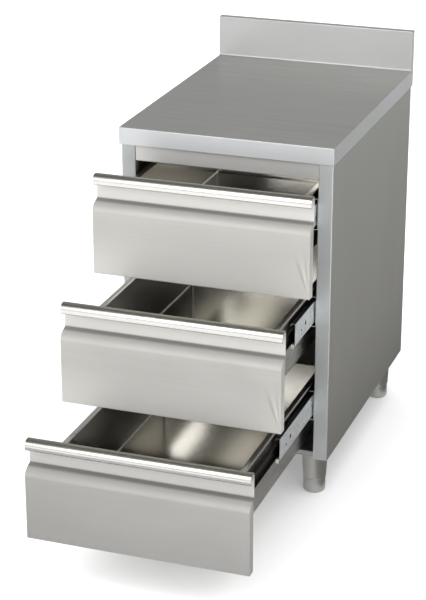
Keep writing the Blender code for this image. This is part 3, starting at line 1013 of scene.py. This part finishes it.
def front(level, base, shift):
    """One formed sheet: bottom return, face with folded ends, ledge, neck and rolled handle."""
    half = SKIN_T / 2
    face = FRONT_FACE + half - shift
    neck = FRONT_FACE + FRONT_T - half - shift
    nose = FRONT_FACE + NOSE_SET + half - shift
    top = base + FRONT_H - half
    lip = base + FRONT_H - LIP_H + half
    path = [
        (face + RETURN_DEPTH - 2, base + half),
        (face, base + half),
        (face, base + FACE_H),
        (neck, base + FACE_H + LEDGE_RISE),
        (neck, top),
        (nose, top),
        (nose, lip),
        (nose + 6, lip),
    ]
    bends = [(2.2, 6), (LEDGE_R, 16), (1.8, 6), (5.0, 10), (NOSE_R, 24), (1.6, 8)]
    skin = sheet("front_skin", path, SKIN_T, bends, "yz", -HALF_FRONT, HALF_FRONT)
    rear = face + RETURN_DEPTH - half
    slope = LEDGE_RISE / (neck - face)
    side_outline = [(face, base + half + 1.0)]
    side_outline += [p for p, _ in bend(path, 2, LEDGE_R, 16)]
    side_outline += [
        (rear, base + FACE_H + slope * (rear - face)),
        (rear, base + half),
        (face + 1.0, base + half),
    ]
    tools = []
    for side in (-1, 1):
        a, b = side * (HALF_FRONT - SKIN_T), side * HALF_FRONT
        tools.append(
            prism("return", side_outline, "yz", min(a, b), max(a, b))
        )
        cut(skin, tools[-1], "UNION")
    deps = bpy.context.evaluated_depsgraph_get()
    work = bmesh.new()
    work.from_mesh(skin.evaluated_get(deps).to_mesh())
    for tool in tools + [skin]:
        bpy.data.objects.remove(tool)
    bmesh.ops.remove_doubles(work, verts=work.verts[:], dist=0.05 * MM)
    bmesh.ops.dissolve_degenerate(work, edges=work.edges[:], dist=0.01 * MM)
    outer = []
    for edge in work.edges:
        ends = [v.co / MM for v in edge.verts]
        if any(abs(abs(c.x) - HALF_FRONT) > 0.01 for c in ends) or len(edge.link_faces) != 2:
            continue
        if any(c.z > base + FACE_H + LEDGE_RISE * 0.7 for c in ends):
            continue
        flat = [f for f in edge.link_faces if abs(f.normal.x) > 0.99]
        skinward = [f for f in edge.link_faces if abs(f.normal.x) < 0.1]
        if flat and skinward and (skinward[0].normal.y < -0.15 or skinward[0].normal.z > 0.5):
            outer.append(edge)
    bmesh.ops.bevel(
        work, geom=outer, offset=1.6 * MM, segments=4, profile=0.5, affect="EDGES", clamp_overlap=True
    )
    skin = put("front_skin", work)
    softened(skin, 0.25, 2, 60.0)
    made = final(skin, f"drawer_{level}_front_skin")
    grained(made, "X", "Z")
    roll = (base + FRONT_H - LIP_H - 2) * MM
    # The face below the handle takes the front steel, the rolled handle takes the handle steel, and its upward faces
    # take the darker handle-top steel, a painted shade.
    dressed(
        made,
        lambda n, c: 0 if c.z < roll else 2 if n.z > 0.72 else 1,
        STEEL_FRONT_LOW if level == "bottom" else STEEL_FRONT,
        STEEL_HANDLE,
        STEEL_HANDLE_TOP_SHADE,
    )
    stands_for(made, f"drawer_{level}_front")

    rear = face + RETURN_DEPTH - half - 0.5
    inside = HALF_FRONT - SKIN_T - GAP
    liner = sheet(
        "liner",
        [
            (rear - 12, base + SKIN_T + GAP + 0.5),
            (rear, base + SKIN_T + GAP + 0.5),
            (rear, base + FACE_H + 4.5),
            (rear - 9, base + FACE_H + 1.5),
        ],
        1.0,
        [(1.4, 6), (1.4, 6)],
        "yz",
        -inside,
        inside,
    )
    softened(liner, 0.25, 2, 60.0)
    made = final(liner, f"drawer_{level}_front_liner_sheet")
    grained(made, "X", "Z")
    dressed(made, None, STEEL_PANEL)
    stands_for(made, f"drawer_{level}_front_liner")


def tray(level, base, shift):
    """A pressed tray with rounded bends and a rim turned outwards and down."""
    half = TRAY_T / 2
    wide = TRAY_HALF - half
    near = POST_Y - FRONT_CLEAR + GAP + half - shift
    far = POST_Y + TRAY_END - half - shift
    low, high = base + TRAY_FLOOR + half, base + TRAY_RIM - half
    steps = 8
    corners = [
        (wide, near, -90.0),
        (wide, far, 0.0),
        (-wide, far, 90.0),
        (-wide, near, 180.0),
    ]

    def ring(inset, z, grow=0.0, forward=True):
        """Points round the tray, inset from its walls, with its corner radius cut down to match."""
        radius = max(TRAY_R - inset, 0.0)
        points = []
        for x, y, start in corners:
            cx = x - math.copysign(TRAY_R, x)
            cy = y + (TRAY_R if y == near else -TRAY_R)
            for k in range(steps + 1):
                a = math.radians(start + 90.0 * k / steps)
                dx, dy = math.cos(a), math.sin(a)
                r = radius
                px, py = cx + r * dx, cy + r * dy
                if grow:
                    px += grow * dx
                    py += grow * (dy if y == far else 0.0)
                points.append((px, py, z))
        return points

    work = bmesh.new()

    def verts(points):
        return [
            work.verts.new(Vector((x, y - CENTRE_Y, z)) * MM) for x, y, z in points
        ]

    rings = []
    for k in range(steps + 1):
        a = math.pi / 2 * k / steps
        rings.append(verts(ring(TRAY_R * (1 - math.sin(a)), low + TRAY_R * (1 - math.cos(a)))))
    rings.append(verts(ring(0.0, low + 60)))
    bend_r = 2.0
    for k in range(7):
        a = math.pi / 2 * k / 6
        rings.append(
            verts(
                ring(
                    0.0,
                    high - bend_r + bend_r * math.sin(a),
                    max(bend_r * (1 - math.cos(a)), 1e-6),
                )
            )
        )
    for k in range(7):
        a = math.pi / 2 * k / 6
        rings.append(
            verts(
                ring(
                    0.0,
                    high - 1.5 * (1 - math.cos(a)),
                    RIM_W - 1.5 + 1.5 * math.sin(a),
                )
            )
        )
    rings.append(verts(ring(0.0, high - 4.0, RIM_W)))
    total = len(rings[0])
    for a, b in zip(rings, rings[1:]):
        for i in range(total):
            j = (i + 1) % total
            work.faces.new((a[i], a[j], b[j], b[i]))
    work.faces.new(rings[0][::-1])
    doubles = [v for v in work.verts]
    bmesh.ops.remove_doubles(work, verts=doubles, dist=1e-7)
    flat = [f for f in work.faces if f.calc_area() < 1e-12]
    bmesh.ops.delete(work, geom=flat, context="FACES_ONLY")
    loose = [v for v in work.verts if not v.link_faces]
    bmesh.ops.delete(work, geom=loose, context="VERTS")
    shell = put("tray_shell", work)
    modifier(shell, "SOLIDIFY", thickness=TRAY_T * MM, offset=0.0, use_even_offset=True)
    softened(shell, 0.25, 2, 60.0)
    made = final(shell, f"drawer_{level}_tray_shell")
    grained(made, "Y", "X")
    middle = (near + far) / 2 - CENTRE_Y

    def rule(n, c):
        """1 on the rim and on the outside of the walls and floor, 2 in the long bends beside the floor, which carry a
        painted highlight on the top tray, 3 in the upright corners, which carry painted shade.
        """
        if c.z > (base + TRAY_RIM - 3.5) * MM or n.z < -0.5:
            return 1
        if n.z > 0.2 and abs(n.x) > 0.2 and n.x * c.x < 0 and abs(n.y) < 0.2 and c.z < (low + TRAY_R) * MM:
            return 2
        # Upright inner corners: painted shade.
        if abs(n.z) < 0.3 and abs(n.x) > 0.1 and abs(n.y) > 0.1 and n.x * c.x < 0:
            return 3
        return 1 if n.x * c.x > 0.05 or n.y * (c.y - middle * MM) > 0.1 else 0

    # Only the top tray's bends take the painted highlight.
    bend = STEEL_BEND_HIGHLIGHT if level == "top" else STEEL_BEND_LOW
    dressed(made, rule, STEEL_TRAY, STEEL_TRAY_OUT, bend, STEEL_CORNER_SHADE)
    stands_for(made, f"drawer_{level}_tray")


def member(level, side, name, kind, base, start, length):
    """One channel of a ball slide, run along Y, with its fixing holes."""
    thick, tall, web, reach = SECTIONS[kind]
    half = thick / 2
    z = base + SLIDE_MID
    inwards = math.copysign(1.0, reach - web)
    path = [
        (reach, half - tall),
        (web + inwards * half, half - tall),
        (web + inwards * half, tall - half),
        (reach, tall - half),
    ]
    bends = [(thick * 0.5 + 1.0, 6)] * 2
    if kind == "intermediate":
        path[0] = (reach - half, half - tall)
        path[-1] = (reach - half, tall - half)
        path.insert(0, (reach - half, MIDDLE_LIP - tall))
        path.append((reach - half, tall - MIDDLE_LIP))
        bends = [(thick * 0.5 + 0.8, 6)] * 4
    path = [(side * (SLIDE_WALL - u), z + v) for u, v in path]
    channel = sheet("channel", path, thick, bends, "xz", start, start + length)
    tools = []
    if kind == "intermediate":
        for back, up, radius in HOLES:
            a, b = side * (SLIDE_WALL - 9), side * (SLIDE_WALL - 1)
            tools.append(bar("hole", start + back, z + up, radius, min(a, b), max(a, b)))
            cut(channel, tools[-1])
    softened(channel, 0.2, 2, 60.0)
    made = final(channel, f"slide_{level}_{name}_{kind}_channel")
    for tool in tools:
        bpy.data.objects.remove(tool)
    if "cage" in kind:
        dressed(made, None, CAGE)
    else:
        back = side * (SLIDE_WALL - web - inwards * half) * MM

        def rule(n, c):
            """1, greased and near black, partly grease and partly painted shade, inside the channel and in its holes.
            """
            if n.x * side * inwards < -0.3 or abs(n.z) > 0.3 and (c.x - back) * side * inwards < 0:
                return 1
            if kind == "intermediate" and abs(n.x) < 0.5:
                for away, up, radius in HOLES:
                    off = math.hypot(c.y / MM + CENTRE_Y - start - away, c.z / MM - z - up)
                    if off < radius + 0.1:
                        return 1
            return 0

        dressed(made, rule, ZINC, GREASE_AND_SHADE)
    stands_for(made, f"slide_{level}_{name}_{kind}")


def end_tab(level, side, name, base, start):
    """The bent tab at the front end of an intermediate member: out of the channel, down and back under its flange."""
    z = base + SLIDE_MID
    path = [(start + 7, z - 20.8), (start - 2.6, z - 20.8), (start - 2.6, z - 33.0), (start + 6, z - 33.0)]
    a, b = side * (SLIDE_WALL - 12.6), side * (SLIDE_WALL - 6.0)
    tab = sheet("tab", path, 1.2, [(1.6, 6), (2.6, 8)], "yz", min(a, b), max(a, b))
    softened(tab, 0.3, 2, 60.0)
    made = final(tab, f"slide_{level}_{name}_intermediate_tab")
    dressed(made, None, TAB)
    rides(made, f"{level}_intermediates")


def balls(level, side, name, kind, base, start):
    """The balls that a cage keeps apart, in one row above and one below."""
    gap_out, gap_in = (34.4, 26.0) if kind == "outer_cage" else (24.5, 17.0)
    radius = (gap_out - gap_in) / 2 - 0.1
    mid = (gap_out + gap_in) / 2
    offset = 7.4 if kind == "outer_cage" else 9.9
    work = bmesh.new()
    for sign in (-1, 1):
        for k in range(10):
            bmesh.ops.create_uvsphere(
                work,
                u_segments=14,
                v_segments=9,
                radius=radius * MM,
                matrix=Matrix.Translation(
                    Vector(
                        (
                            side * (SLIDE_WALL - offset),
                            start + 16 + 22 * k - CENTRE_Y,
                            base + SLIDE_MID + sign * mid,
                        )
                    )
                    * MM
                ),
            )
    made = final(put("balls", work), f"slide_{level}_{name}_{kind}_balls")
    grained(made, "X", "Y")
    dressed(made, None, BALL)
    rides(made, f"{level}_{kind}s")


def drawers():
    for i, level in enumerate(LEVELS):
        base = CARCASS_Z + PITCH * i
        shift = OPEN[level]
        front(level, base, shift)
        tray(level, base, shift)
        for kind, (start, length) in RUNS.items():
            begin = POST_Y + start - SHARE[kind] * shift
            for side, name in ((-1, "left"), (1, "right")):
                member(level, side, name, kind, base, begin, length)
                if "cage" in kind:
                    balls(level, side, name, kind, base, begin)
                if kind == "intermediate":
                    end_tab(level, side, name, base, begin)


# ---------------------------------------------------------------- camera, floor and light


def camera():
    data = bpy.data.cameras.new("camera")
    data.sensor_width, data.lens = 36.0, 116.34
    data.clip_start, data.clip_end = 0.05, 200.0
    obj = bpy.data.objects.new("camera", data)
    bpy.context.scene.collection.objects.link(obj)
    yaw, pitch = math.radians(19.44), math.radians(21.56)
    ahead = Vector(
        (-math.sin(yaw) * math.cos(pitch), math.cos(yaw) * math.cos(pitch), -math.sin(pitch))
    )
    obj.location = (1.5833 - 0.25, -3.8534 - 0.072, 2.0789)
    obj.rotation_mode = "QUATERNION"
    obj.rotation_quaternion = ahead.to_track_quat("-Z", "Y")
    bpy.context.scene.camera = obj


def floor():
    work = bmesh.new()
    bmesh.ops.create_grid(work, x_segments=2, y_segments=2, size=30.0)
    plane = put("floor", work)
    WORK.objects.unlink(plane)
    bpy.context.scene.collection.objects.link(plane)
    material = bpy.data.materials.new("pale_floor")
    material.use_nodes = True
    t = Tree(material)
    shader = t.tree.nodes["Principled BSDF"]
    at = t.node("ShaderNodeTexCoord").outputs["Object"]
    tone = t.blend(t.noise(at, 3.0, 3.0), (0.86, 0.86, 0.86), (0.89, 0.89, 0.89))
    t.link(tone, shader.inputs["Base Color"])
    shader.inputs["Roughness"].default_value = 0.9
    shader.inputs["Specular IOR Level"].default_value = 0.1
    plane.data.materials.append(material)


def lamp(name, kind, place, target, energy, colour=(1, 1, 1), glossy=True, **values):
    data = bpy.data.lights.new(name, kind)
    data.energy, data.color = energy, colour
    for key, value in values.items():
        setattr(data, key, value)
    obj = bpy.data.objects.new(name, data)
    bpy.context.scene.collection.objects.link(obj)
    obj.location = place
    obj.rotation_mode = "QUATERNION"
    obj.rotation_quaternion = (Vector(target) - Vector(place)).to_track_quat("-Z", "Y")
    obj.visible_camera = False
    obj.visible_glossy = glossy
    return obj


def card(name, corners, colour, level, fade=None):
    """A studio card that only shows in reflections: it darkens or brightens what the steel mirrors.
    fade = (from x, to x, level there) lets it grow darker towards one side."""
    work = bmesh.new()
    work.faces.new([work.verts.new(c) for c in corners])
    obj = put(name, work)
    WORK.objects.unlink(obj)
    bpy.context.scene.collection.objects.link(obj)
    material = bpy.data.materials.new(name)
    material.use_nodes = True
    t = Tree(material)
    t.tree.nodes.remove(t.tree.nodes["Principled BSDF"])
    glow = t.node("ShaderNodeEmission")
    glow.inputs["Color"].default_value = (*colour, 1.0)
    glow.inputs["Strength"].default_value = level
    if fade:
        parts = t.node("ShaderNodeSeparateXYZ")
        t.link(t.node("ShaderNodeTexCoord").outputs["Object"], parts.inputs[0])
        t.link(t.ramp(parts.outputs[0], fade[0], fade[1], level, fade[2]), glow.inputs["Strength"])
    t.link(glow.outputs[0], t.tree.nodes["Material Output"].inputs["Surface"])
    obj.data.materials.append(material)
    obj.visible_camera = obj.visible_diffuse = obj.visible_shadow = False
    obj.visible_transmission = obj.visible_volume_scatter = False
    return obj


def lights():
    lamp("fill", "SUN", (0, 0, 5.0), (0, 0, 0), 1.55, (1, 1, 1), False, angle=math.radians(60), use_shadow=False)
    lamp("above", "SUN", (-0.6, -1.0, 5.0), (0, 0, 0), 2.4, (1, 1, 1), False, angle=math.radians(140))
    lamp("soft", "SUN", (-2.0, -2.4, 4.0), (0, 0, 0), 0.4, (1, 1, 1), False, angle=math.radians(50))
    lamp(
        "key", "AREA", (-1.15, -3.3, 3.4), (0.0, -0.3, 0.6), 42.0, (1.0, 1.0, 1.0), True,
        shape="RECTANGLE", size=0.85, size_y=4.0,
    )
    lamp(
        "side_fill", "AREA", (2.4, -3.2, 1.3), (0.2, -0.1, 0.5), 34.0, (0.95, 0.98, 1.0), True,
        shape="RECTANGLE", size=1.6, size_y=1.6,
    )
    flat = 0.004
    card(
        "flag_right",
        [(0.25, -0.6, flat), (3.5, -0.6, flat), (3.5, 4.5, flat), (0.25, 4.5, flat)],
        (1.0, 0.99, 0.96),
        0.24,
        (0.25, 0.65, 0.43),
    )
    card(
        "flag_left",
        [(-3.5, -0.5, flat), (-0.25, -0.5, flat), (-0.25, 4.5, flat), (-3.5, 4.5, flat)],
        (1.0, 0.99, 0.96),
        0.43,
        (-0.65, -0.25, 0.24),
    )
    card(
        "flag_back",
        [(-0.25, 0.7, flat), (0.25, 0.7, flat), (0.25, 4.5, flat), (-0.25, 4.5, flat)],
        (1.0, 0.99, 0.96),
        0.35,
    )
    card(
        "flag_front",
        [(-1.1, -1.25, flat), (0.32, -1.25, flat), (0.32, -0.64, flat), (-1.1, -0.64, flat)],
        (1.0, 1.0, 0.98),
        0.22,
    )
    for name, x, y, z, level, fade in (
        ("glow_top", (-0.195, 0.20), (0.0, 0.46), 0.768, 0.06, (-0.10, 0.03, 1.5)),
        ("glow_middle", (-0.195, 0.06), (-0.235, 0.04), 0.592, 2.8, (-0.13, -0.07, 0.03)),
        ("glow_bottom", (-0.195, -0.03), (-0.32, -0.06), 0.362, 0.45, (-0.14, -0.07, 1.8)),
    ):
        card(
            name,
            [(x[0], y[0], z), (x[1], y[0], z), (x[1], y[1], z), (x[0], y[1], z)],
            (1.0, 0.97, 0.89),
            level,
            fade,
        )
    for name, x, y, z in (
        ("cover_middle", (-0.195, 0.06), (-0.235, 0.04), 0.5925),
        ("cover_bottom", (-0.195, -0.03), (-0.32, -0.06), 0.3625),
    ):
        card(
            name,
            [(x[0], y[0], z), (x[1], y[0], z), (x[1], y[1], z), (x[0], y[1], z)],
            (1.0, 0.99, 0.96),
            0.5,
        )


def sky():
    world = bpy.data.worlds.new("studio")
    bpy.context.scene.world = world
    world.use_nodes = True
    t = Tree(world)
    back = t.tree.nodes["Background"]
    way = t.node("ShaderNodeTexCoord").outputs["Generated"]

    def lobe(direction, inner, outer):
        """1 within inner degrees of a direction, falling to 0 at outer degrees."""
        made = t.node("ShaderNodeVectorMath", operation="DOT_PRODUCT")
        t.link(way, made.inputs[0])
        made.inputs[1].default_value = Vector(direction).normalized()
        return t.ramp(
            made.outputs["Value"], math.cos(math.radians(outer)), math.cos(math.radians(inner))
        )

    level = t.math("MULTIPLY_ADD", lobe((-0.31, 0.877, 0.367), 8, 40), 0.12, 0.42)
    level = t.math("MULTIPLY_ADD", lobe((-0.36, -0.86, 0.37), 16, 38), 0.5, level)
    level = t.math("MULTIPLY_ADD", lobe((0.0, 0.0, 1.0), 10, 50), -0.10, level)
    level = t.math("MULTIPLY_ADD", lobe((0.8, 0.6, 0.1), 20, 60), -0.15, level)
    tint = t.node("ShaderNodeCombineXYZ")
    for i in range(3):
        t.link(level, tint.inputs[i])
    t.link(tint.outputs[0], back.inputs["Color"])
    back.inputs["Strength"].default_value = 1.0


worktop()
carcass()
rivets()
feet()
drawers()
camera()
floor()
lights()
sky()
bpy.context.scene.collection.children.unlink(WORK)
bpy.data.collections.remove(WORK)
view = bpy.context.scene.view_settings
view.view_transform, view.look = "Standard", "None"
